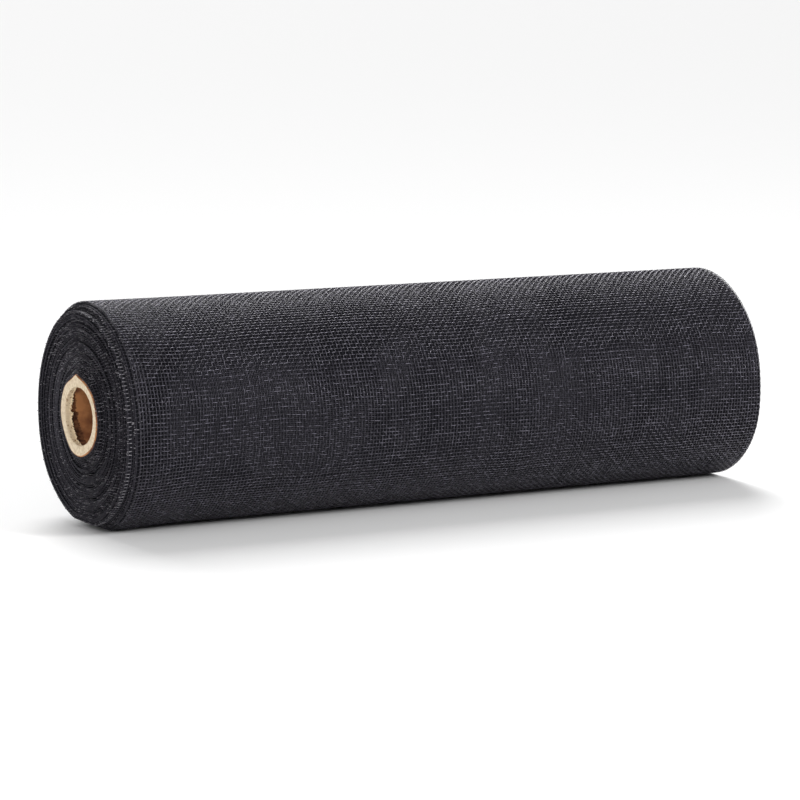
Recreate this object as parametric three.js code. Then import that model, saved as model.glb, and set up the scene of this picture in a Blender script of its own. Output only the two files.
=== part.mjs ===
// A roll of charcoal fibreglass insect screen, wound on a cardboard tube and lying on its side.
// Millimetres, +Z up. The origin is on the surface the roll lies on, under the middle of the roll.
// The roll's axis runs along X. The end at -X is the one whose wraps stand out round the tube.

import * as THREE from 'three';

// Wound cloth
const clothWidth = 300; // cut width, which every wrap keeps
const leftRadius = 47.0; // outside of the roll at -X
const rightRadius = 46.4; // outside of the roll at +X, where it is wound a little tighter
const flatHalfAngle = 7; // degrees each side of straight down that lie flat on the surface
const endFlare = 0.66; // how far the last wraps flare out at the -X end
const flareBelow = 0.7; // share of the flare that is added below and taken off above
const flareLength = 22; // length over which the flare dies away
const wrapSag = 1.1; // how far the middle wraps hang below a true centre
const slackBulge = 1.4; // how far the wraps inside the last group have slid out at the lower front
const slackAngle = 222; // degrees from +Y towards +Z at which they have slid furthest
const outerGroupStart = 0.885; // share of the wall where the last, shifted group of wraps begins
const outerGroupSkew = 1.6; // how far the last group leans out of square with the axis
const outerGroupWave = 0.5; // how far its edge is drawn in at the sides and pushed out above and below
const angleSteps = 72; // faces round the roll
const lengthShares = [0.04, 0.09, 0.3, 0.6]; // where the outside has rings of points along its width

// Sideways place of the wraps, from the tube (share 0) to the outside (share 1). The cloth keeps its
// width, so a wrap that stands out at one end lies as far back at the other.
const wrapDrift = [
  { share: 0.0, shift: -4.0 },
  { share: 0.03, shift: -3.9 },
  { share: 0.09, shift: -1.9 },
  { share: 0.13, shift: -1.4 },
  { share: 0.18, shift: -2.2 },
  { share: 0.25, shift: -1.3 },
  { share: 0.34, shift: -2.5 },
  { share: 0.39, shift: -1.6 },
  { share: 0.5, shift: -2.6 },
  { share: 0.58, shift: -1.6 },
  { share: 0.68, shift: -2.9 },
  { share: 0.74, shift: -1.7 },
  { share: 0.83, shift: -2.9 },
  { share: outerGroupStart, shift: -2.9 },
  { share: 0.897, shift: 0.4 },
  { share: 0.955, shift: 0.6 },
  { share: 0.964, shift: 1.9 },
  { share: 1.0, shift: 2.1 },
];

// How far the roll's outside swells or sinks from round, by angle in degrees from +Y towards +Z.
const roundness = [
  { angle: 0, swell: -0.3 },
  { angle: 60, swell: 0.15 },
  { angle: 120, swell: -0.1 },
  { angle: 152, swell: 0.3 },
  { angle: 180, swell: -0.2 },
  { angle: 207, swell: 0.45 },
  { angle: 233, swell: 0 },
  { angle: 258, swell: 0 },
  { angle: 282, swell: -0.5 },
  { angle: 303, swell: -0.4 },
  { angle: 328, swell: 0.7 },
];

// Cardboard tube
const tubeLength = 303;
const boreHalfWidth = 13.6; // across, along Y
const boreHalfHeight = 11.9; // pressed a little flat, along Z
const tubeClearance = 0.3; // between the tube and the first wrap

// Outside of the tube by angle in degrees from +Y towards +Z. It was once creased at top and bottom.
const tubeOutline = [
  { angle: 0, radius: 17.9 },
  { angle: 40, radius: 17.5 },
  { angle: 62, radius: 16.5 },
  { angle: 74, radius: 16.8 },
  { angle: 82, radius: 17.4 },
  { angle: 89, radius: 16.4 },
  { angle: 104, radius: 15.7 },
  { angle: 125, radius: 15.9 },
  { angle: 152, radius: 16.9 },
  { angle: 187, radius: 17.5 },
  { angle: 216, radius: 17.3 },
  { angle: 242, radius: 16.4 },
  { angle: 270, radius: 16.7 },
  { angle: 296, radius: 17.1 },
  { angle: 318, radius: 16.7 },
  { angle: 338, radius: 17.1 },
];

const turn = 2 * Math.PI;
const straightDown = -Math.PI / 2;
const flatCosine = Math.cos(THREE.MathUtils.degToRad(flatHalfAngle));

// The tube's left end stands as far from the middle as the outermost wrap's furthest edge at the right.
const lastRow = wrapDrift[wrapDrift.length - 1];
const reach = clothWidth / 2 + lastRow.shift + outerGroupSkew + outerGroupWave;

// The roll tapers, so its own axis leans very slightly. The flare is only in the last wraps.
const taperRadius = (x) => THREE.MathUtils.mapLinear(x, -reach, reach, leftRadius, rightRadius);
const axisHeight = (x) => taperRadius(x) * flatCosine;
const flareAt = (x, angle) =>
  endFlare * Math.exp(-(((x + clothWidth / 2) / flareLength) ** 2)) * (1 - flareBelow * Math.sin(angle));

// Value of a table's column at an angle, as a smooth closed curve through its rows.
function roundTable(table, column, angle) {
  const degrees = THREE.MathUtils.euclideanModulo(THREE.MathUtils.radToDeg(angle), 360);
  const row = (i) => {
    const lap = Math.floor(i / table.length);
    const entry = table[i - lap * table.length];
    return { at: entry.angle + 360 * lap, value: entry[column] };
  };
  let i = table.length - 1;
  while (table[i].angle > degrees) i -= 1;
  const [before, start, end, after] = [row(i - 1), row(i), row(i + 1), row(i + 2)];
  const span = end.at - start.at;
  const t = (degrees - start.at) / span;
  const startSlope = ((end.value - before.value) / (end.at - before.at)) * span;
  const endSlope = ((after.value - start.value) / (after.at - start.at)) * span;
  return (
    (2 * t ** 3 - 3 * t ** 2 + 1) * start.value +
    (t ** 3 - 2 * t ** 2 + t) * startSlope +
    (3 * t ** 2 - 2 * t ** 3) * end.value +
    (t ** 3 - t ** 2) * endSlope
  );
}

const tubeRadius = (angle) => roundTable(tubeOutline, 'radius', angle);

// Radius of the roll's outside: round, but for the flat it lies on.
function outsideRadius(x, angle) {
  const round = taperRadius(x) + flareAt(x, angle) + roundTable(roundness, 'swell', angle);
  const downward = Math.cos(angle - straightDown);
  return downward > 0 ? Math.min(round, axisHeight(x) / downward) : round;
}

// How far a wrap has slid out at the lower front: most for the wrap just inside the last group.
function slackAt(share, angle) {
  const reached = Math.min((share / outerGroupStart) ** 5, (1 - share) / (1 - outerGroupStart));
  const facing = Math.max(0, Math.cos(angle - THREE.MathUtils.degToRad(slackAngle)));
  return slackBulge * reached * facing ** 4;
}

// Radius of a wrap at its share of the wall. The middle wraps hang loose below and lie tight above.
function wrapRadius(x, share, angle) {
  const first = tubeRadius(angle) + tubeClearance;
  const round = THREE.MathUtils.lerp(first, outsideRadius(x, angle), share);
  return round - wrapSag * Math.sin(Math.PI * share) * Math.sin(angle) + slackAt(share, angle);
}

// Edge of a wrap: side is -1 at its left edge and +1 at its right edge.
function edgePlace(side, row, angle) {
  const lean = outerGroupSkew * Math.sin(angle) + outerGroupWave * Math.cos(2 * angle);
  return (side * clothWidth) / 2 + row.shift - (row.share > outerGroupStart ? lean : 0);
}

// Point on a wrap, from its place along the axis, its share of the wall and its angle.
function wrapPoint(x, share, angle) {
  const radius = wrapRadius(x, share, angle);
  return [x, radius * Math.cos(angle), axisHeight(x) + radius * Math.sin(angle)];
}

// Closed skin over rings of points. Every ring has the same count, and the last one joins the first.
function ringSkin(rings) {
  const count = rings[0].length;
  const indices = [];
  rings.forEach((ring, i) => {
    const next = (i + 1) % rings.length;
    for (let j = 0; j < count; j += 1) {
      const k = (j + 1) % count;
      const corner = [i * count + j, i * count + k, next * count + k, next * count + j];
      indices.push(corner[0], corner[1], corner[2], corner[0], corner[2], corner[3]);
    }
  });
  const geometry = new THREE.BufferGeometry();
  geometry.setAttribute('position', new THREE.Float32BufferAttribute(rings.flat(2), 3));
  geometry.setIndex(indices);
  geometry.computeVertexNormals();
  return geometry;
}

const ringAngles = (steps) => Array.from({ length: steps }, (_, j) => straightDown + (j * turn) / steps);

// The wound cloth: up the left end, along the outside, down the right end and back through the middle.
function woundCloth() {
  const angles = ringAngles(angleSteps);
  const end = (side) =>
    wrapDrift.map((row) => angles.map((angle) => wrapPoint(edgePlace(side, row, angle), row.share, angle)));
  const outside = lengthShares.map((along) =>
    angles.map((angle) => {
      const left = edgePlace(-1, lastRow, angle);
      return wrapPoint(left + along * clothWidth, lastRow.share, angle);
    }),
  );
  return ringSkin([...end(-1), ...outside, ...end(1).reverse()]);
}

// The cardboard tube, cut square, with its creased outside and its bore.
function cardboardTube() {
  const angles = ringAngles(angleSteps);
  const ends = [-reach, tubeLength - reach];
  const point = (x, radius, angle) => [x, radius * Math.cos(angle), axisHeight(x) + radius * Math.sin(angle)];
  const ring = (x, radius) => angles.map((angle) => point(x, radius(angle), angle));
  const boreRadius = (angle) =>
    1 / Math.hypot(Math.cos(angle) / boreHalfWidth, Math.sin(angle) / boreHalfHeight);
  return ringSkin([
    ring(ends[0], boreRadius),
    ring(ends[0], tubeRadius),
    ring(ends[1], tubeRadius),
    ring(ends[1], boreRadius),
  ]);
}

const screenCloth = new THREE.MeshStandardMaterial({ color: 0x2c2d31, roughness: 0.72, metalness: 0 });
const cardboard = new THREE.MeshStandardMaterial({ color: 0xd8c3a0, roughness: 0.9, metalness: 0 });

const screenRoll = new THREE.Mesh(woundCloth(), screenCloth);
screenRoll.name = 'screen_roll';

const coreTube = new THREE.Mesh(cardboardTube(), cardboard);
coreTube.name = 'core_tube';

const group = new THREE.Group();
group.add(screenRoll, coreTube);

export default group;
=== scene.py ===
# %% [markdown]
# # A roll of insect screen
#
# The object is one long strip of open mesh, woven from glass yarn in a black vinyl coat and wound round
# a cardboard tube. At arm's length it reads as a dark, slightly see-through cylinder, and all of its
# character is in two places: the fine grid on the outside, which shimmers where one layer of mesh lies
# over the next, and the end, where some seventy edges lie side by side and none is quite level.
#
# The solids come first, as a fixed frame. Everything below is built in the same place and at the same
# size, so nothing has to be fitted afterwards.

import bpy
import numpy as np
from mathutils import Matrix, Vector


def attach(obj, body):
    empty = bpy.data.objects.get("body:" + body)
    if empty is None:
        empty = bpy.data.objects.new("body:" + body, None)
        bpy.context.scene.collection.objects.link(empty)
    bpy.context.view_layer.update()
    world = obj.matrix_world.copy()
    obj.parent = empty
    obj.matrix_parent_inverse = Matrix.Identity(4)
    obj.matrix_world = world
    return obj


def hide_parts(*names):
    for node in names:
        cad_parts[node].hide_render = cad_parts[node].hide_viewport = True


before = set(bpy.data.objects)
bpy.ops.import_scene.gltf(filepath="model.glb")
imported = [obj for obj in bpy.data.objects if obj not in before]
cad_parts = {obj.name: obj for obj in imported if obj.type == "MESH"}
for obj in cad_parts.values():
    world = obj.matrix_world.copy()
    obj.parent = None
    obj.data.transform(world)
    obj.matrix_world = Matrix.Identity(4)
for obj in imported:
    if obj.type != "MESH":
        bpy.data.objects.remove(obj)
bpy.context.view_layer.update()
print("solids:", sorted(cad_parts))

# %% [markdown]
# ## Sizes
#
# A maker would measure a roll in millimetres, so the sizes are in millimetres here, and one factor turns
# them into Blender's metres when a mesh is made. They are the same sizes as those of the solids: the
# mesh has to lie in the space that the solid holds.

# %% Sizes of the winding
MM = 0.001
TURN = 2 * np.pi

CLOTH_WIDTH = 300.0
WRAPS = 73
LEFT_RADIUS, RIGHT_RADIUS = 47.0, 46.4
FLAT_HALF_ANGLE = 7.0
END_FLARE, FLARE_BELOW, FLARE_LENGTH = 0.66, 0.7, 22.0
WRAP_SAG = 1.1
SLACK_BULGE, SLACK_ANGLE = 1.4, np.radians(222)
OUTER_GROUP_START, OUTER_GROUP_SKEW, OUTER_GROUP_WAVE = 0.885, 1.6, 0.5
print("wraps:", WRAPS, "width across the roll in mm:", 2 * LEFT_RADIUS, "to", 2 * RIGHT_RADIUS)

# %% [markdown]
# ## Three tables
#
# Three things about the roll follow no formula: how far each group of wraps has slid sideways, where the
# outside swells or sinks, and the outline of the creased tube. Each could be a curve drawn by hand, but
# a short table of numbers is easier to read and to correct.

# %% Tables of the winding
# share of the wound wall, sideways place of the wraps there
WRAP_DRIFT = np.array([
    (0.0, -4.0), (0.03, -3.9), (0.09, -1.9), (0.13, -1.4), (0.18, -2.2), (0.25, -1.3), (0.34, -2.5),
    (0.39, -1.6), (0.5, -2.6), (0.58, -1.6), (0.68, -2.9), (0.74, -1.7), (0.83, -2.9),
    (OUTER_GROUP_START, -2.9), (0.897, 0.4), (0.955, 0.6), (0.964, 1.9), (1.0, 2.1),
])

# angle in degrees from +Y towards +Z, swell of the roll's outside
ROUNDNESS = [(0, -0.3), (60, 0.15), (120, -0.1), (152, 0.3), (180, -0.2), (207, 0.45), (233, 0.0),
             (258, 0.0), (282, -0.5), (303, -0.4), (328, 0.7)]

# angle in degrees, outer radius of the creased tube
TUBE_OUTLINE = [(0, 17.9), (40, 17.5), (62, 16.5), (74, 16.8), (82, 17.4), (89, 16.4), (104, 15.7),
                (125, 15.9), (152, 16.9), (187, 17.5), (216, 17.3), (242, 16.4), (270, 16.7),
                (296, 17.1), (318, 16.7), (338, 17.1)]

REACH = CLOTH_WIDTH / 2 + WRAP_DRIFT[-1, 1] + OUTER_GROUP_SKEW + OUTER_GROUP_WAVE
print("furthest edge from the middle in mm: %.1f" % REACH)

# %% [markdown]
# ## The shape of the winding
#
# The cloth could be drawn as a spiral with a fixed step, and the result would look machined. The real
# winding starts on a creased tube and ends nearly round, with a flat where it lies. So each wrap's
# outline is a mix of the tube's outline and the roll's outline, by how far out the wrap is. The middle
# wraps hang a little, which closes them up above the tube and opens them below it.

# %% Outlines and the radius of a wrap
TUBE_CLEARANCE = 0.3


def round_table(rows, angle):
    """Value at an angle, in radians, on a smooth closed curve through rows of (degrees, value)."""
    at, value = np.array(rows, float).T
    slope = (np.roll(value, -1) - np.roll(value, 1)) / ((np.roll(at, -1) - np.roll(at, 1)) % 360)
    degrees = np.degrees(angle) % 360
    start = np.searchsorted(at, degrees, side="right") - 1
    end = (start + 1) % len(at)
    span = (at[end] - at[start]) % 360
    t = (degrees - at[start]) / span
    return (
        (2 * t**3 - 3 * t**2 + 1) * value[start]
        + (t**3 - 2 * t**2 + t) * slope[start] * span
        + (3 * t**2 - 2 * t**3) * value[end]
        + (t**3 - t**2) * slope[end] * span
    )


def taper_radius(x):
    return LEFT_RADIUS + (x + REACH) / (2 * REACH) * (RIGHT_RADIUS - LEFT_RADIUS)


def axis_height(x):
    return taper_radius(x) * np.cos(np.radians(FLAT_HALF_ANGLE))


def outside_radius(x, angle):
    flare = END_FLARE * np.exp(-(((x + CLOTH_WIDTH / 2) / FLARE_LENGTH) ** 2))
    free = taper_radius(x) + flare * (1 - FLARE_BELOW * np.sin(angle)) + round_table(ROUNDNESS, angle)
    downward = np.maximum(-np.sin(angle), 1e-3)
    return np.minimum(free, axis_height(x) / downward)


def wrap_radius(x, share, angle):
    first = round_table(TUBE_OUTLINE, angle) + TUBE_CLEARANCE
    mixed = first + share * (outside_radius(x, angle) - first)
    rising, falling = (share / OUTER_GROUP_START) ** 5, (1 - share) / (1 - OUTER_GROUP_START)
    slack = SLACK_BULGE * np.minimum(rising, falling) * np.maximum(0, np.cos(angle - SLACK_ANGLE)) ** 4
    return mixed - WRAP_SAG * np.sin(np.pi * share) * np.sin(angle) + slack


above, below = wrap_radius(0.0, 0.5, np.radians([90.0, 270.0]))
print("radius of the middle wrap in mm: %.1f above, %.1f below" % (above, below))

# %% [markdown]
# ## Wander and slip
#
# The edges of the wraps drift sideways in groups, as in the table above, and each wrap also wanders a
# little by itself. Wraps have slipped together in groups too, with dark gaps between the groups, mostly
# low on the roll, where they hang loose. Both could be random steps from wrap to wrap, but the cloth is
# one strip, so both are sums of waves along the winding, which never jump.

# %% Wander and groups
TAIL_ANGLE = np.radians(-38)
GROUPS, GROUP_START, GROUP_SHIFT = 6.06, 0.27, 0.009


def turn_angle(turn):
    return TAIL_ANGLE + TURN * (WRAPS - turn)


def edge_wander(turn):
    """Sideways wander of a wrap's edge; a wave has cycles a turn, a start and a size."""
    waves = [(0.13, 0.4, 0.26), (0.37, 1.9, 0.30), (0.62, 0.2, 0.22), (1.43, 2.2, 0.10)]
    held = np.clip(np.minimum(turn, WRAPS - turn) / 5, 0, 1)
    return held * sum(size * np.sin(TURN * pace * turn + start) for pace, start, size in waves)


def group_place(share, angle):
    """Place of a wrap within its group, as an angle that is 0 at the gap before the group."""
    return TURN * (GROUPS * share - GROUP_START) + 0.35 * np.sin(2 * angle + 9 * share)


def bunched(share, angle):
    """Share of the wall after the wraps have slipped together in groups, mostly on the loose lower side."""
    looseness = 0.55 - 0.65 * np.minimum(np.sin(angle), 0)
    ends = np.sin(np.pi * np.clip(share / OUTER_GROUP_START, 0, 1)) ** 0.5
    place = group_place(share, angle)
    groups = np.sin(place) + np.sin(2 * place) / 2 + np.sin(3 * place) / 3
    return share + GROUP_SHIFT * looseness * ends * groups


widest = np.abs(edge_wander(np.linspace(0, WRAPS, 2000))).max()
print("widest wander of an edge in mm: %.2f" % widest)

# %% [markdown]
# ## Where a point of the cloth lies
#
# Two numbers name any point of the strip: its place across the width, and how many turns it lies from
# the start at the tube. One function turns them into a point in space. Each wrap could have a function of
# its own, but as every yarn and the sheet go through this one, they can't part. It also gives the
# directions outward and forward, which a yarn needs for its thickness.

# %% From cloth to roll
CLOTH_DEPTH = 0.25


def on_roll(turn, across, lift=0.0):
    """Points in millimetres, with the directions outward and forward along the winding."""
    turn, across = np.broadcast_arrays(np.asarray(turn, float), np.asarray(across, float))
    share, angle = np.clip(turn / WRAPS, 0, 1), turn_angle(turn)
    lean = OUTER_GROUP_SKEW * np.sin(angle) + OUTER_GROUP_WAVE * np.cos(2 * angle)
    x = across + np.interp(share, *WRAP_DRIFT.T) + edge_wander(turn)
    x = x - np.where(share > OUTER_GROUP_START, lean, 0)
    radius = wrap_radius(x, bunched(share, angle), angle) - CLOTH_DEPTH + lift
    outward = np.stack([np.zeros_like(angle), np.cos(angle), np.sin(angle)], -1)
    forward = np.stack([np.zeros_like(angle), np.sin(angle), -np.cos(angle)], -1)
    points = np.stack([x, np.zeros_like(x), axis_height(x)], -1) + outward * radius[..., None]
    return points, outward, forward


print("free end of the cloth in mm:", on_roll(WRAPS, 0.0)[0].round(1))

# %% [markdown]
# ## Length along the strip
#
# Crosswise yarns lie at even steps of length, so the inner wraps have fewer of them. A formula for the
# length of a spiral would miss the creases and the flat, so the length is measured once, over many short
# steps of the winding, and read back from that list.

# %% Length of the cloth
survey_turns = np.linspace(0, WRAPS, WRAPS * 120 + 1)
survey_points = on_roll(survey_turns, 0.0)[0][:, 1:]
survey_length = np.concatenate([[0], np.cumsum(np.linalg.norm(np.diff(survey_points, axis=0), axis=1))])
CLOTH_LENGTH = float(survey_length[-1])
print("cloth wound on the roll: %.2f m" % (CLOTH_LENGTH * MM))


def turn_at(length):
    return np.interp(length, survey_length, survey_turns)


def length_at(turn):
    return np.interp(turn, survey_turns, survey_length)


# %% [markdown]
# ## Bends of the weave
#
# No yarn in a soft mesh runs dead straight, and it is this that breaks the shimmer into patches. Each
# point moves by a fraction of a millimetre, lengthwise and sideways, by a sum of nine waves from the
# length of a finger joint to that of a hand. A smooth noise would do too, but sines cost little and can
# be worked out at any point, also between the yarns.

# %% The bent weave
rng = np.random.default_rng(7)
BENDS, SHORT_BEND, LONG_BEND, BEND_SIZE = 9, 22, 130, 0.011
BIAS, STRAIGHT_EDGE = 0.004, 15
BEND_LENGTHS = np.geomspace(SHORT_BEND, LONG_BEND, BENDS)
bend_headings = rng.uniform(0, TURN, (2, BENDS))
bend_starts = rng.uniform(0, TURN, (2, BENDS))


def woven(turn, across):
    """The same point once the bends of the weave, long and short, have moved it."""
    s, v = np.broadcast_arrays(length_at(turn), across)
    moved = []
    for headings, starts in zip(bend_headings, bend_starts):
        bend = 0.0
        for length, heading, start in zip(BEND_LENGTHS, headings, starts):
            phase = TURN * (s * np.cos(heading) + v * np.sin(heading)) / length + start
            bend = bend + BEND_SIZE * length**0.6 * np.sin(phase)
        moved.append(bend)
    from_edge = np.clip((CLOTH_WIDTH / 2 - np.abs(v)) / STRAIGHT_EDGE, 0, 1)
    return turn_at(s + moved[0] + BIAS * v), v + moved[1] * from_edge


print("bends of the weave in mm:", [round(float(b)) for b in BEND_LENGTHS])

# %% [markdown]
# ## From arrays to a mesh
#
# Blender can be told of each face in turn, but with so many small faces that is slow. It also takes plain
# arrays of points and corners in one go, and this helper hands them over. Where a piece is made of yarns,
# the shading breaks at each ring of a yarn: a real one has a kink at every crossing, and the kinks catch
# the light one by one.

# %% A mesh from arrays
YARN_SIDES = 3
triangle_count = {}


def mesh_object(name, points, faces, materials, smooth=True, marks=None, yarns=False):
    """faces is a list of arrays, one row of corners a face; marks gives each array its material."""
    mesh = bpy.data.meshes.new(name)
    points = np.asarray(points, float).reshape(-1, 3) * MM
    totals = np.concatenate([np.full(len(f), f.shape[1]) for f in faces])
    corners = np.concatenate([f.ravel() for f in faces])
    marks = np.repeat(marks or [0] * len(faces), [len(f) for f in faces])
    mesh.vertices.add(len(points))
    mesh.vertices.foreach_set("co", points.astype(np.float32).ravel())
    mesh.loops.add(len(corners))
    mesh.loops.foreach_set("vertex_index", corners.astype(np.int32))
    mesh.polygons.add(len(totals))
    mesh.polygons.foreach_set("loop_start", (np.cumsum(totals) - totals).astype(np.int32))
    mesh.polygons.foreach_set("material_index", marks.astype(np.int32))
    mesh.polygons.foreach_set("use_smooth", np.full(len(totals), smooth))
    mesh.update(calc_edges=True)
    if yarns:
        ends = np.empty(2 * len(mesh.edges), np.int32)
        mesh.edges.foreach_get("vertices", ends)
        ring = ends.reshape(-1, 2) // YARN_SIDES
        sharp = mesh.attributes.new("sharp_edge", "BOOLEAN", "EDGE")
        sharp.data.foreach_set("value", ring[:, 0] == ring[:, 1])
    for material in materials:
        mesh.materials.append(material)
    piece = bpy.data.objects.new(name, mesh)
    bpy.context.scene.collection.objects.link(piece)
    triangle_count[name] = int((totals - 2).sum())
    print("%s: %d points, %d triangles" % (name, len(points), triangle_count[name]))
    return piece


print("one unit of Blender in mm: %d" % round(1 / MM))

# %% [markdown]
# ## Many tubes at once
#
# A yarn is a thin tube with three sides, and smooth shading makes three look round at this size. Blender
# could bevel a curve for each yarn, but here every ring of every tube is worked out at once, and the
# faces follow from counting.

# %% Tubes
def tubes(centres, first_side, second_side, radius, first_cap=True, last_cap=True):
    """Points and faces of many tubes. centres is yarns by steps by 3; caps come after the walls."""
    yarns, steps = centres.shape[:2]
    turn = TURN * (np.arange(YARN_SIDES) + 0.5) / YARN_SIDES
    ring = np.cos(turn)[:, None] * first_side[..., None, :]
    ring = ring + np.sin(turn)[:, None] * second_side[..., None, :]
    points = centres[..., None, :] + radius * ring
    number = np.arange(yarns * steps * YARN_SIDES).reshape(yarns, steps, YARN_SIDES)
    here, there = number[:, :-1], number[:, 1:]
    beside, across = np.roll(here, -1, axis=2), np.roll(there, -1, axis=2)
    faces = [np.stack([here, there, across, beside], -1).reshape(-1, 4)]
    if first_cap:
        faces.append(number[:, 0])
    if last_cap:
        faces.append(number[:, -1, ::-1])
    return points.reshape(-1, 3), faces


def joined(parts):
    """One list of points and one of faces, from several pairs of them."""
    points, faces, count = [], [], 0
    for some_points, some_faces in parts:
        points.append(some_points)
        faces += [f + count for f in some_faces]
        count += len(some_points)
    return np.concatenate(points), faces


print("sides of a yarn:", YARN_SIDES)

# %% [markdown]
# ## The dark inside
#
# Light that goes in between the wraps hardly comes out again. The sheet in there could have the glossy
# coat of the yarns, but then it would catch lights that never reach it on the real roll, so it is a flat
# near-black without a shine, and the simplest material here.

# %% Material of the sheet inside
def new_material(name):
    material = bpy.data.materials.new(name)
    material.use_nodes = True
    nodes = material.node_tree.nodes
    return material, nodes, material.node_tree.links, nodes["Principled BSDF"]


deep_material, nodes, links, shader = new_material("screen_in_shadow")
shader.inputs["Base Color"].default_value = (0.010, 0.010, 0.013, 1)
shader.inputs["Roughness"].default_value = 0.9
shader.inputs["Specular IOR Level"].default_value = 0.1
print("first material:", deep_material.name)

# %% [markdown]
# ## Noise in a material
#
# The other finishes aren't even. A noise in the object's own space drives a colour through a ramp, or a
# roughness through a range. An image could do that too, but it needs the surface laid out flat, and
# thousands of yarns have no layout worth drawing.

# %% Noise, ramps and ranges
FINE = 2500.0


def noise_fac(nodes, links, scale, detail=3.0, stretch=(1, 1, 1)):
    """A noise in the object's own space, once stretched along the axes."""
    place = nodes.new("ShaderNodeTexCoord")
    mapping = nodes.new("ShaderNodeMapping")
    mapping.inputs["Scale"].default_value = stretch
    noise = nodes.new("ShaderNodeTexNoise")
    noise.inputs["Scale"].default_value = scale
    noise.inputs["Detail"].default_value = detail
    links.new(place.outputs["Object"], mapping.inputs["Vector"])
    links.new(mapping.outputs["Vector"], noise.inputs["Vector"])
    return noise.outputs["Fac"]


def ramp_into(nodes, links, fac, stops, socket):
    """A colour ramp through (position, colour) stops, between a factor and a socket."""
    ramp = nodes.new("ShaderNodeValToRGB")
    while len(ramp.color_ramp.elements) < len(stops):
        ramp.color_ramp.elements.new(0.5)
    for element, (position, colour) in zip(ramp.color_ramp.elements, stops):
        element.position = position
        element.color = (*colour, 1)
    links.new(fac, ramp.inputs["Fac"])
    links.new(ramp.outputs["Color"], socket)


def range_into(nodes, links, fac, low, high, socket):
    spread = nodes.new("ShaderNodeMapRange")
    spread.inputs["From Min"].default_value = 0.3
    spread.inputs["From Max"].default_value = 0.7
    spread.inputs["To Min"].default_value = low
    spread.inputs["To Max"].default_value = high
    links.new(fac, spread.inputs["Value"])
    links.new(spread.outputs["Result"], socket)


print("one wave of the finest noise in mm: %.1f" % (1 / FINE / MM))

# %% [markdown]
# ## Vinyl-coated yarn
#
# The coat is a black vinyl with a faint blue cast and a satin skin. One even gloss would be simpler, but it
# makes the mesh look like wire. On the real yarn the gloss changes from place to place where the coat was
# melted at the crossings, so a fine noise moves the roughness. Another noise moves the colour; on the yarns
# of the outer wrap its palest stop paints short pale dashes: painted glints, where a yarn would catch the
# light. The lengthwise yarns have a little more gloss than the crosswise ones, because in the photograph
# they draw most of the lines in the bright band along the top. Where a yarn is cut the glass inside shows,
# and that end is much paler.

# %% Finishes of the yarns
def vinyl_material(name, stops, roughness, scale=480.0, stretch=(1, 1, 1)):
    material, nodes, links, shader = new_material(name)
    shader.inputs["Specular Tint"].default_value = (0.93, 0.89, 1.0, 1)
    mottle = noise_fac(nodes, links, scale, 2.0, stretch)
    ramp_into(nodes, links, mottle, stops, shader.inputs["Base Color"])
    range_into(nodes, links, noise_fac(nodes, links, 300.0), *roughness, shader.inputs["Roughness"])
    shader.inputs["Specular IOR Level"].default_value = 0.8
    return material


dull, plain, painted_glint = (0.009, 0.0084, 0.0135), (0.02, 0.0187, 0.028), (0.16, 0.152, 0.19)
faint, dim = (0.006, 0.006, 0.009), (0.016, 0.015, 0.022)
hazy, glass_grey, glass_white = (0.1, 0.095, 0.11), (0.12, 0.114, 0.13), (0.45, 0.435, 0.46)

# painted glints: the top stop of each yarn ramp is a pale grey that paints short glints along the yarns
warp_stops = [(0.4, dull), (0.58, plain), (0.74, painted_glint)]
weft_stops = [(0.42, dull), (0.52, plain), (0.6, painted_glint)]
warp_material = vinyl_material("vinyl_warp", warp_stops, (0.16, 0.32), stretch=(2, 0.5, 0.5))
weft_material = vinyl_material("vinyl_weft", weft_stops, (0.26, 0.44), 620.0, (0.8, 1.3, 1.3))
# painted shade: the second wrap's vinyl is darker and without glints, for the shade under the wrap above
shaded_under_material = vinyl_material("vinyl_under_painted_shade", [(0.4, faint), (0.7, dim)], (0.4, 0.6))
edge_material = vinyl_material("vinyl_edge", [(0.4, dull), (0.6, dim)], (0.5, 0.7), FINE)
frayed_material = vinyl_material("frayed_edge", [(0.4, plain), (0.6, hazy)], (0.4, 0.6), FINE)
cut_stops = [(0.38, glass_grey), (0.6, glass_white)]
cut_material = vinyl_material("cut_glass_yarn", cut_stops, (0.5, 0.8), FINE)
screen_materials = [warp_material, weft_material, cut_material]
edge_materials = [edge_material, frayed_material, cut_material]
print("vinyl finishes:", [m.name for m in (warp_material, weft_material, shaded_under_material, *edge_materials)])

# %% [markdown]
# ## The wound cloth
#
# All wraps but the last two are one thin sheet, wound as the real one is. Seen from the end it is a
# set of dark slots. It could be seventy rings, one in another, but a real roll is one strip, and one
# strip is also less work. It stops a little short of the cloth's own edges, because there the open mesh
# shows and is made of yarns. Under the open wraps it lies slightly higher, so that it hides what is below.

# %% The wound sheet
OPEN_WRAPS = 2
SHEET_STEP = 4.0
SHEET_INSET = 0.2
SHEET_LIFT, LIFTED_TURNS = 0.24, 2

sheet_length = length_at(WRAPS - OPEN_WRAPS)
sheet_turns = turn_at(np.linspace(0, sheet_length, int(sheet_length / SHEET_STEP)))
sheet_across = np.array([-0.5, -0.42, -0.3, 0.1, 0.5]) * (CLOTH_WIDTH - 2 * SHEET_INSET)
near_outside = np.clip(sheet_turns - sheet_turns[-1] + LIFTED_TURNS, 0, 1)
sheet_lift = np.outer(near_outside, [0, SHEET_LIFT, SHEET_LIFT, SHEET_LIFT, 0])
sheet_points = on_roll(sheet_turns[:, None], sheet_across[None, :], sheet_lift)[0]
number = np.arange(sheet_points.shape[0] * sheet_points.shape[1]).reshape(sheet_points.shape[:2])
corners = [number[:-1, :-1], number[:-1, 1:], number[1:, 1:], number[1:, :-1]]
sheet_faces = np.stack(corners, -1).reshape(-1, 4)
wound_cloth = mesh_object("wound_cloth", sheet_points, [sheet_faces], [deep_material])

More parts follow.
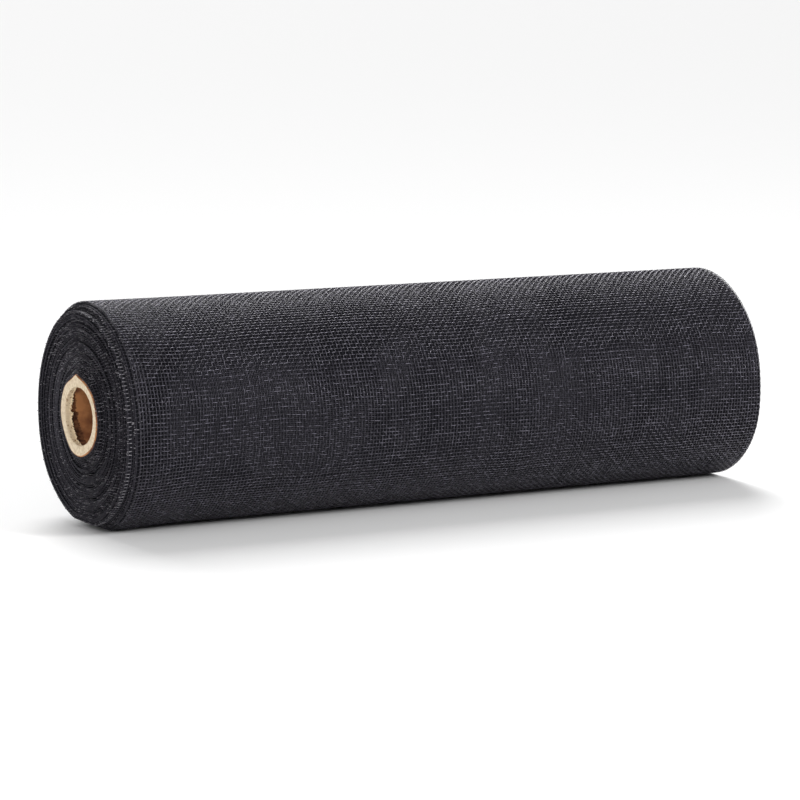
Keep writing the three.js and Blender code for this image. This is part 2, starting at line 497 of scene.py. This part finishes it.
# %% [markdown]
# ## Yarns at the ends
#
# At each end a wrap shows its last lengthwise yarns and the cut ends of the crosswise ones, which stand
# up like the teeth of a comb. Drawing that comb as a texture would fail as soon as a wrap stands proud of
# its neighbour, so the teeth are real: one short prism for each crosswise yarn of each wrap, some nine
# thousand at each end, with a little disorder in length and direction.
#
# First come the lengthwise yarns. Two a wrap are enough, but where the inner group of wraps stands out
# beyond the last group, a few millimetres of its face are bare, and four yarns are needed.

# %% Lengthwise yarns along the edges of the inner wraps
WARPS, EDGE_MARGIN, YARN_RADIUS = 204, 0.2, 0.14
WARP_PITCH = (CLOTH_WIDTH - 2 * EDGE_MARGIN) / (WARPS - 1)
EDGE_STEP, EDGE_LIFT = 3.2, 0.06
PROUD_TURN = OUTER_GROUP_START * WRAPS
BARED_TURN = PROUD_TURN - 1.3


def edge_strands(edge, side):
    """The last two lengthwise yarns of each wrap, and four where a wrap stands far out."""
    yarn_turns = turn_at(np.arange(0.5, sheet_length, EDGE_STEP))
    strands = []
    for row in range(4):
        if row == 2:
            yarn_turns = yarn_turns[yarn_turns > BARED_TURN]
        across = edge - side * (EDGE_MARGIN + row * WARP_PITCH)
        centres, outward, forward = on_roll(*woven(yarn_turns, across), EDGE_LIFT)
        axial = np.broadcast_to([1.0, 0.0, 0.0], outward.shape)
        strands.append(tubes(centres[None], outward[None], axial[None], YARN_RADIUS, False, False))
    return strands


print("lengthwise yarns:", WARPS, "pitch in mm: %.3f" % WARP_PITCH)
print("wraps that stand furthest out end at turn %.1f of %d" % (PROUD_TURN, WRAPS))

# %% [markdown]
# ## Cut ends
#
# The knife left most ends dark, some furry and some with bare glass, and one wrap often fared alike all
# round. So each wrap draws a fray of its own, and each tooth then draws its finish by it. Ends above and
# at the front are made pale more often, which is painted light. The last wrap of the inner group gets
# the palest ends of all, partly for its frayed glass and partly as painted light, and in the photograph
# it is a fine bright ladder. Random draws come from one seeded generator, so that the roll is the same on
# every run.

# %% How frayed each tooth is
DARK, FURRY, BARE = 0, 1, 2
wrap_fray = rng.beta(0.6, 1.8, WRAPS + 1)


def tooth_finishes(teeth):
    """DARK, FURRY or BARE for each tooth; teeth above and at the front are made pale more often, as painted
    light.
    """
    angles = turn_angle(teeth)
    after_gap = np.cos(group_place(teeth / WRAPS, angles) - 0.9) > 0.92
    # painted light: ends above and at the front turn pale more often
    painted_light = 1 + 0.5 * np.sin(angles) - 0.35 * np.cos(angles)
    fray = (0.08 + wrap_fray[teeth.astype(int)]) * painted_light + 0.4 * after_gap
    # painted light in part: the last wrap of the inner group gets the palest ends
    proud = np.abs(teeth - PROUD_TURN + 0.5) < 0.5
    fray[proud] = 2.0
    kind = np.where(rng.random(len(teeth)) < 0.3 + 0.5 * fray, FURRY, DARK)
    kind[rng.random(len(teeth)) < 0.44 * fray] = BARE
    return kind


print("mean fray of a wrap: %.2f" % wrap_fray.mean())

# %% [markdown]
# ## The comb
#
# A tooth is a tube of one step, from just inside the edge to its own tip. Where the cloth's face is bared,
# a second, dark tooth goes on behind the first, so that only the end is pale.

# %% Cut ends of the crosswise yarns
FIRST_WEFT, WEFT_PITCH = 0.8, 1.62
TOOTH_LENGTH, TOOTH_RADIUS, TOOTH_LIFT = 1.6, 0.17, -0.05
TIP_SPREAD, TIP_RISE, TIP_LEAN = 0.26, 0.07, 0.12


def end_comb(name, side):
    edge = side * CLOTH_WIDTH / 2
    parts, marks = edge_strands(edge, side), [DARK] * 4
    teeth = turn_at(np.arange(FIRST_WEFT, sheet_length, WEFT_PITCH))
    kind = tooth_finishes(teeth)
    tip = edge + side * (rng.normal(-0.05, TIP_SPREAD, len(teeth)) + 0.1 * kind)
    bared = teeth > BARED_TURN
    teeth, tip, kind = [np.append(row, row[bared]) for row in (teeth, tip, kind)]
    stem = np.arange(len(teeth)) >= len(bared)
    kind[stem] = DARK
    tip[stem] = edge - side * TOOTH_LENGTH
    inner = edge - side * np.where(stem, 2 * TOOTH_LENGTH, TOOTH_LENGTH)
    turns = np.stack([teeth, teeth], 1)
    across = np.stack([tip, inner], 1)
    centres, outward, forward = on_roll(*woven(turns, across), TOOTH_LIFT)
    centres[:, 0] += outward[:, 0] * rng.normal(0, TIP_RISE, (len(teeth), 1))
    centres[:, 0] += forward[:, 0] * rng.normal(0, TIP_LEAN, (len(teeth), 1))
    if side > 0:
        centres, outward, forward = centres[:, ::-1], outward[:, ::-1], forward[:, ::-1]
    for finish in (DARK, FURRY, BARE):
        own = kind == finish
        parts.append(tubes(centres[own], outward[own], forward[own], TOOTH_RADIUS, side < 0, side > 0))
        marks += [finish, max(finish, FURRY)]
    return mesh_object(name, *joined(parts), edge_materials, marks=marks, yarns=True)


left_comb = end_comb("edge_yarns_left", -1)
right_comb = end_comb("edge_yarns_right", 1)

# %% [markdown]
# ## The open mesh outside
#
# The last two wraps are left open, so that the eye looks through one grid onto the next, and the
# shimmer comes by itself from the two grids falling in and out of step. In the outermost wrap the yarns
# pass over and under each other, with one step of the tube for each crossing. Below it that would cost
# half a million faces and nobody would see it, so there the yarns run with longer steps.
#
# A grid of crossings is worked out first, with every small fault of the weave in it, and both sets of
# yarns are then strung through it. If each set had faults of its own, they would part at the crossings.
# A fault runs on for a few yarns, as it does when a reed wire is bent or the beat is uneven, so plain
# random numbers are smoothed along the yarn before they are used.

# %% A grid of crossings
def smooth_noise(shape, reach, axis):
    """Random values of spread 1, alike over about reach neighbours along one axis."""
    window = np.hanning(2 * reach + 3)[1:-1]
    wide = rng.normal(size=[n + (len(window) - 1) * (i == axis) for i, n in enumerate(shape)])
    noise = np.apply_along_axis(np.convolve, axis, wide, window, "valid")
    return noise / np.sqrt((window**2).sum())


def crossing_grid(first_turn, last_turn):
    """Turns and places of all crossings, as lengthwise yarns by crosswise yarns."""
    across = -CLOTH_WIDTH / 2 + EDGE_MARGIN + WARP_PITCH * np.arange(WARPS)
    turns = turn_at(np.arange(FIRST_WEFT, CLOTH_LENGTH, WEFT_PITCH))
    turns = turns[(turns >= first_turn) & (turns <= last_turn)]
    shape = (len(across), len(turns))
    reed_marks = rng.normal(0, 0.03, (shape[0], 1)) + 0.04 * smooth_noise(shape, 5, 1)
    beat_marks = rng.normal(0, 0.05, (1, shape[1])) + 0.05 * smooth_noise(shape, 5, 0)
    turn_grid, across_grid = woven(turns[None, :] + 0 * across[:, None], across[:, None] + reed_marks)
    return turn_at(length_at(turn_grid) + beat_marks), across_grid


print("crosswise yarns in the whole cloth:", len(np.arange(FIRST_WEFT, CLOTH_LENGTH, WEFT_PITCH)))

# %% [markdown]
# ## Two ways to string a yarn
#
# Lengthwise yarns run round the roll, and crosswise yarns run along it. Both are tubes through rows or
# columns of the grid, so two small functions do for every yarn. Crosswise yarns go on for a fraction of
# a millimetre past the last crossing, each to a length of its own, as cut ends do.

# %% Strings through the grid
CUT_SPREAD = 0.16


def lengthwise(turns, across, lift):
    centres, outward, forward = on_roll(turns, across, lift)
    axial = np.broadcast_to([1.0, 0.0, 0.0], outward.shape)
    return tubes(centres, outward, axial, YARN_RADIUS)


def crosswise(turns, across, lift):
    """Crosswise yarns through the crossings, with a cut end beyond the last one at each side."""
    count = turns.shape[1]
    tips = [side * CLOTH_WIDTH / 2 + rng.normal(0, CUT_SPREAD, (1, count)) for side in (-1, 1)]
    turns = np.concatenate([turns[:1], turns, turns[-1:]]).T
    across = np.concatenate([tips[0], across, tips[1]]).T
    lift = np.concatenate([lift[:1] * 0, lift, lift[-1:] * 0]).T
    centres, outward, forward = on_roll(turns, across, lift)
    return tubes(centres, outward, forward, YARN_RADIUS)


print("spread of the cut ends in mm:", CUT_SPREAD)

# %% [markdown]
# ## The outermost wrap
#
# In a plain weave a yarn goes over one and under the next, and its neighbour does the opposite. On a grid
# that is a chessboard of +1 and -1, times the height of a crossing. The yarns are stored in four pieces
# instead of one, which keeps each mesh small enough to handle.

# %% The outermost wrap
WEAVE_LIFT = 0.16
LENGTHWISE, CROSSWISE, CUT_END = 0, 1, 2

turns, across = crossing_grid(WRAPS - 1, WRAPS)
over = 1 - 2 * (np.add.outer(np.arange(turns.shape[0]), np.arange(turns.shape[1])) % 2)
lift = WEAVE_LIFT * over + 0.02 * smooth_noise(turns.shape, 2, 0)
open_pieces = []
half = turns.shape[0] // 2
for name, part in (("outer_warp_left", slice(0, half)), ("outer_warp_right", slice(half, None))):
    strands = lengthwise(turns[part], across[part], lift[part])
    marks = [LENGTHWISE, CUT_END, CUT_END]
    open_pieces.append(mesh_object(name, *strands, screen_materials, marks=marks, yarns=True))
half = turns.shape[1] // 2
for name, part in (("outer_weft_first", slice(0, half)), ("outer_weft_last", slice(half, None))):
    strands = crosswise(turns[:, part], across[:, part], -lift[:, part])
    marks = [CROSSWISE, CUT_END, CUT_END]
    open_pieces.append(mesh_object(name, *strands, screen_materials, marks=marks, yarns=True))

# %% [markdown]
# ## The wrap below
#
# Its vinyl is darker than the outer wrap's and has no glints, which is painted shade from the wrap above.
# It shows only as a darker grid in the holes of the first, and it is what makes the shimmer. Here the two
# sets of yarns lie flat, one set just above the other, with a ring at every second crossing or fewer.

# %% The second wrap
UNDER_LIFT, UNDER_STATIONS = 0.07, 21

turns, across = crossing_grid(WRAPS - 2, WRAPS - 1)
stations = np.linspace(0, WARPS - 1, UNDER_STATIONS).astype(int)
steps = np.unique(np.append(np.arange(0, turns.shape[1], 2), turns.shape[1] - 1))
strands = joined([
    lengthwise(turns[:, steps], across[:, steps], UNDER_LIFT),
    crosswise(turns[stations], across[stations], np.full((len(stations), turns.shape[1]), -UNDER_LIFT)),
])
# the second wrap's yarns take the darker vinyl, which is painted shade
under_materials = [shaded_under_material, cut_material]
open_pieces.append(mesh_object("second_wrap", *strands, under_materials, marks=[0, 1, 1] * 2, yarns=True))

# %% [markdown]
# ## The cardboard tube
#
# The tube is wound from strips of pale board, with a sheet of brown paper as the lining of its bore.
# Where the saw went through it, the cut is cream-coloured and a little furry. Noise at a fibre's size
# gives the board its colour, and a bump of the same size gives it a nap: fibres are too small to model.
# The lining is browner, in wide blotches of darker and lighter brown. In a band just inside its torn lip it
# is painted nearly black, a painted shadow of the curled lip that is widest low on the far side.

# %% Materials of the tube
def paper_material(name, stops, scale, detail, roughness):
    material, nodes, links, shader = new_material(name)
    ramp_into(nodes, links, noise_fac(nodes, links, scale, detail), stops, shader.inputs["Base Color"])
    shader.inputs["Roughness"].default_value = roughness
    shader.inputs["Specular IOR Level"].default_value = 0.2
    bump = nodes.new("ShaderNodeBump")
    bump.inputs["Strength"].default_value = 0.5
    bump.inputs["Distance"].default_value = 0.0002
    links.new(noise_fac(nodes, links, 1800.0, 4.0), bump.inputs["Height"])
    links.new(bump.outputs["Normal"], shader.inputs["Normal"])
    return material


board_stops = [(0.3, (0.6, 0.47, 0.31)), (0.6, (0.79, 0.67, 0.5))]
torn_stops = [(0.36, (0.30, 0.15, 0.06)), (0.46, (0.80, 0.66, 0.46))]
lining_stops = [(0.36, (0.16, 0.056, 0.03)), (0.62, (0.55, 0.25, 0.1))]
# painted shadow: the lining just inside its torn lip is painted nearly black
lip_shadow_stops = [(0.35, (0.05, 0.02, 0.012)), (0.6, (0.2, 0.085, 0.04))]
board_material = paper_material("cut_board", board_stops, 900.0, 3.0, 0.95)
torn_material = paper_material("torn_board", torn_stops, 900.0, 4.0, 0.95)
lining_material = paper_material("kraft_lining", lining_stops, 110.0, 5.0, 0.7)
lip_shadow_material = paper_material("torn_lip_painted_shadow", lip_shadow_stops, 500.0, 5.0, 0.8)
card_materials = [lining_material, lip_shadow_material, torn_material, board_material]
KRAFT, LIP_SHADOW, TORN, CUT = 0, 1, 2, 3
print("papers of the tube:", [m.name for m in card_materials])

# %% [markdown]
# ## The torn lining
#
# At the near end the lining has torn back from the mouth by a few millimetres on one side. A picture of a
# tear would be flat when the light changes, so the tear is in the mesh. First comes its line: a depth
# for each degree round the bore, made ragged by random steps, some fine and some a few degrees wide.

# %% The torn line
TUBE_LENGTH, TUBE_ANGLES = 303.0, 360
BORE_HALF_WIDTH, BORE_HALF_HEIGHT = 13.6, 11.9
TORN_DEPTH = 2.7


def bore_radius(angle):
    return 1 / np.hypot(np.cos(angle) / BORE_HALF_WIDTH, np.sin(angle) / BORE_HALF_HEIGHT)


def torn_line(angle):
    """Depth of the tear round the bore, and how far each place is on the torn side, from 0 to 1."""
    ragged = rng.normal(0, 1, TUBE_ANGLES) + 0.6 * rng.normal(0, 1, TUBE_ANGLES // 6).repeat(6)
    torn_side = np.clip(np.cos(angle + 0.2), 0, 1) ** 0.7
    slow = np.interp(angle, np.linspace(0, TURN, 31), rng.normal(0, 1, 31), period=TURN)
    return 0.35 + torn_side * TORN_DEPTH * (1 + 0.09 * ragged + 0.08 * slow), torn_side


angle = TURN * np.arange(TUBE_ANGLES) / TUBE_ANGLES
torn, torn_side = torn_line(angle)
print("the lining is torn back by %.1f to %.1f mm" % (torn.min(), torn.max()))

# %% [markdown]
# ## Rings of the tube
#
# A tube is a closed skin over rings of points: through the bore, out over the cut end, along the outside
# and back over the far end. The lining stands inward of the bare board by the thickness of one paper, its
# lip curls a little, and the rings near the mouth take their depth from the torn line. A ring is a place
# along the axis and a radius, and either may change on the way round.

# %% Rings of the tube
LINING, CURL, FIBRE = 0.35, 0.5, 0.06
MOUTH, FAR_END = -REACH, TUBE_LENGTH - REACH

fibre = FIBRE * rng.normal(0, 1, (8, TUBE_ANGLES))
wall, bore = round_table(TUBE_OUTLINE, angle), bore_radius(angle)
bare = bore + LINING * np.minimum(1, torn_side + 0.3)
curl = CURL * torn_side
# painted shadow: lip is how far the nearly black band reaches in from the tear, widest low on the far side
lip = 0.8 + 2.6 * np.clip(np.cos(angle + 0.9), 0, 1)
tear = MOUTH + torn

lining = [(tear + depth, bore) for depth in (295.0, 290.0, 200.0, 120.0, 60.0, 25.0, 8.0, lip, 0.5 * lip)]
lining += [(tear + 0.3, bore - 0.5 * curl), (tear, bore - curl)]
bared = [(tear + 0.05, bore - curl + 0.2), (tear + 0.5, bare), (MOUTH + torn * 0.7, bare + fibre[0])]
bared += [(MOUTH + torn * 0.35, bare + fibre[1]), (MOUTH + 0.3, bare)]
inner, outer = bare + 0.3, wall - 0.5
plies = [(MOUTH + 0.05 * (i % 2) + 0.5 * fibre[i + 1], inner + i / 6 * (outer - inner)) for i in range(7)]
outside = [(MOUTH + 0.08, wall - 0.2), (MOUTH + 0.35, wall), (MOUTH + 3.0, wall)]
outside += [(FAR_END - 3.0, wall), (FAR_END - 0.35, wall), (FAR_END, wall - 0.35), (FAR_END, bore + 0.35)]
print("rings round the tube:", len(lining + bared + plies + outside))

# %% [markdown]
# ## The tube's mesh
#
# With the rings in order, the faces again follow from counting: each ring joins the next, and the last
# one joins the first. The list of faces is cut where the paper changes, and each stretch gets its own
# material. Five small meshes would do the same, but their seams could open.

# %% The tube's mesh
rows = []
for x, radius in lining + bared + plies + outside:
    x = np.minimum(x + np.zeros_like(angle), FAR_END)
    rows.append(np.stack([x, radius * np.cos(angle), axis_height(x) + radius * np.sin(angle)], -1))
points = np.stack(rows)
number = np.arange(points.shape[0] * points.shape[1]).reshape(points.shape[:2])
there = np.roll(number, -1, axis=0)
faces = np.stack([number, there, np.roll(there, -1, axis=1), np.roll(number, -1, axis=1)], -1)
torn_edge, bared_edge = len(lining) - 1, len(lining + bared) - 1
rim_edge = len(lining + bared + plies) - 1
# the faces from the ring at lip depth to the tear take the painted lip shadow
cuts = [torn_edge - 3, torn_edge, bared_edge, rim_edge, len(faces) - 3]
sets = [part.reshape(-1, 4) for part in np.split(faces, cuts)]
card = mesh_object("core_card", points, sets, card_materials, marks=[KRAFT, LIP_SHADOW, TORN, CUT, KRAFT, CUT])
print("triangles in all:", sum(triangle_count.values()))

# %% [markdown]
# ## Whose place each piece takes
#
# Every piece above is the fine form of one of the two solids, so it takes that solid's place and moves
# with the same body.

# %% Places of the pieces in the object
for piece in [wound_cloth, left_comb, right_comb, *open_pieces]:
    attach(piece, "root")
    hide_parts("screen_roll")
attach(card, "root")
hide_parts("core_tube")
print("pieces that move with the roll:", len(triangle_count))

# %% [markdown]
# ## Camera, floor and light
#
# The photograph was taken with a long lens, from the left and a little above the roll. The angles and the
# distance were found by laying the solids' outline over the photograph. A camera could be aimed with a
# constraint, but two angles and a shift sideways say the same in fewer parts.

# %% Camera
CAMERA_TURN, CAMERA_RISE = np.radians(-29.216), np.radians(7.913)
CAMERA_DISTANCE, CAMERA_LENS = 1.5999, 3733 / 800 * 36
CAMERA_RIGHT, CAMERA_UP = -0.00321, -0.00295
AIM_HEIGHT = 0.046

back = np.array([
    np.sin(CAMERA_TURN) * np.cos(CAMERA_RISE),
    -np.cos(CAMERA_TURN) * np.cos(CAMERA_RISE),
    np.sin(CAMERA_RISE),
])
right = np.array([np.cos(CAMERA_TURN), np.sin(CAMERA_TURN), 0.0])
up = np.cross(back, right)
camera = bpy.data.objects.new("camera", bpy.data.cameras.new("camera"))
camera.data.lens = CAMERA_LENS
camera.data.sensor_width = 36.0
camera.data.clip_start, camera.data.clip_end = 0.1, 40.0
aim = np.array([0, 0, AIM_HEIGHT]) + right * CAMERA_RIGHT + up * CAMERA_UP
camera.location = aim + back * CAMERA_DISTANCE
camera.rotation_euler = (np.pi / 2 - CAMERA_RISE, 0.0, CAMERA_TURN)
bpy.context.scene.collection.objects.link(camera)
bpy.context.scene.camera = camera
print("camera in metres:", [round(c, 3) for c in camera.location])

# %% [markdown]
# ## Floor and world
#
# The roll was photographed on plain white. A big pale floor gives a soft light from below and a faint
# shadow where the roll touches it. The world could be a picture of a room, but that would put its windows
# into the gloss of the yarns, so an even white fills in the rest.

# %% Floor and world
floor_material, nodes, links, shader = new_material("pale_floor")
shader.inputs["Base Color"].default_value = (0.86, 0.86, 0.86, 1)
shader.inputs["Roughness"].default_value = 0.95
floor_points = np.array([(-12, -12, 0), (12, -12, 0), (12, 12, 0), (-12, 12, 0)], float) / MM
floor = mesh_object("floor", floor_points, [np.array([[0, 1, 2, 3]])], [floor_material], smooth=False)

world = bpy.data.worlds.new("studio")
world.use_nodes = True
world.node_tree.nodes["Background"].inputs["Color"].default_value = (1, 1, 1, 1)
world.node_tree.nodes["Background"].inputs["Strength"].default_value = 0.3
bpy.context.scene.world = world
bpy.context.scene.view_settings.view_transform = "Standard"
print("world strength:", world.node_tree.nodes["Background"].inputs["Strength"].default_value)

# %% [markdown]
# ## Lights
#
# The bright band along the top of the roll is a wide white backdrop, seen in the gloss of the yarns at a
# low angle. A sun lamp with a wide angle does that from any distance. A second one, almost overhead, is
# the soft studio light. An area light on the left opens up the cut end, and a tall narrow one in front
# puts the small glints on the mesh.

# %% Lights
def aimed_light(name, kind, place, aim, energy):
    light = bpy.data.objects.new(name, bpy.data.lights.new(name, kind))
    light.data.energy = energy
    light.location = place
    light.rotation_euler = (Vector(aim) - Vector(place)).to_track_quat("-Z", "Y").to_euler()
    bpy.context.scene.collection.objects.link(light)
    return light


backdrop = aimed_light("backdrop", "SUN", (0.3, 1.0, 0.6), (0, 0, 0), 2.2)
backdrop.data.angle = np.radians(38)
overhead = aimed_light("overhead", "SUN", (0.2, 0.6, 1.0), (0, 0, 0), 1.3)
overhead.data.angle = np.radians(30)
left = aimed_light("left", "AREA", (-1.4, -0.8, 0.8), (0, 0, 0.05), 10)
left.data.size = 0.8
front = aimed_light("front", "AREA", (0.75, -1.35, 0.85), (0, 0, 0.05), 19)
front.data.shape = "RECTANGLE"
front.data.size, front.data.size_y = 0.2, 0.6
print("lights:", [light.name for light in (backdrop, overhead, left, front)])
